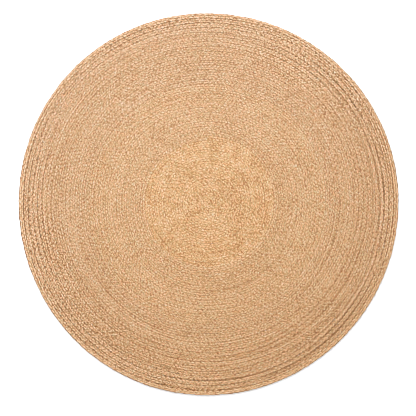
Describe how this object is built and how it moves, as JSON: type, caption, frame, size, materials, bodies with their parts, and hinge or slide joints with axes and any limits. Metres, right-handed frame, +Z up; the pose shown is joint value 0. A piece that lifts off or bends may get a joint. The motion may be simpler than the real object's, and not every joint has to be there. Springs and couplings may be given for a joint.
{
  "type": "area rug",
  "caption": "Round flat-braided jute area rug: a spiral-wound braid field, sewn turn to turn, inside a border of closed braid rings.",
  "frame": {"origin": "centre of the border rings, on the underside where the rug lies on the floor", "axes": "+Z up, away from the floor. X and Y lie along the floor, and the field's second winding centre is half a braid pitch along +Y. Seen from above, the braid winds outwards anticlockwise."},
  "size_m": [1.8, 1.7998, 0.01],
  "materials": {
    "jute_warm": "matte braided jute fibre",
    "jute_pale": "matte braided jute fibre",
    "jute_mid": "matte braided jute fibre",
    "jute_border": "matte braided jute fibre",
    "sewing_thread": "matte thread"
  },
  "bodies": {
    "root": {"border_bobbin_thread_1": "sewing_thread", "border_bobbin_thread_2": "sewing_thread", "border_bobbin_thread_3": "sewing_thread", "border_bobbin_thread_4": "sewing_thread", "border_bobbin_thread_5": "sewing_thread", "border_join_stitches_1": "sewing_thread", "border_join_stitches_2": "sewing_thread", "border_join_stitches_3": "sewing_thread", "border_join_stitches_4": "sewing_thread", "border_join_stitches_5": "sewing_thread", "border_needle_thread_1": "sewing_thread", "border_needle_thread_2": "sewing_thread", "border_needle_thread_3": "sewing_thread", "border_needle_thread_4": "sewing_thread", "border_needle_thread_5": "sewing_thread", "border_ring_1": "jute_border", "border_ring_2": "jute_border", "border_ring_3": "jute_border", "border_ring_4": "jute_border", "border_ring_5": "jute_border", "field_bobbin_thread": "sewing_thread", "field_braid_inner": "jute_warm", "field_braid_middle": "jute_pale", "field_braid_outer": "jute_mid", "field_needle_thread": "sewing_thread", "field_splice_stitches_1": "sewing_thread", "field_splice_stitches_2": "sewing_thread"}
  },
  "joints": []
}
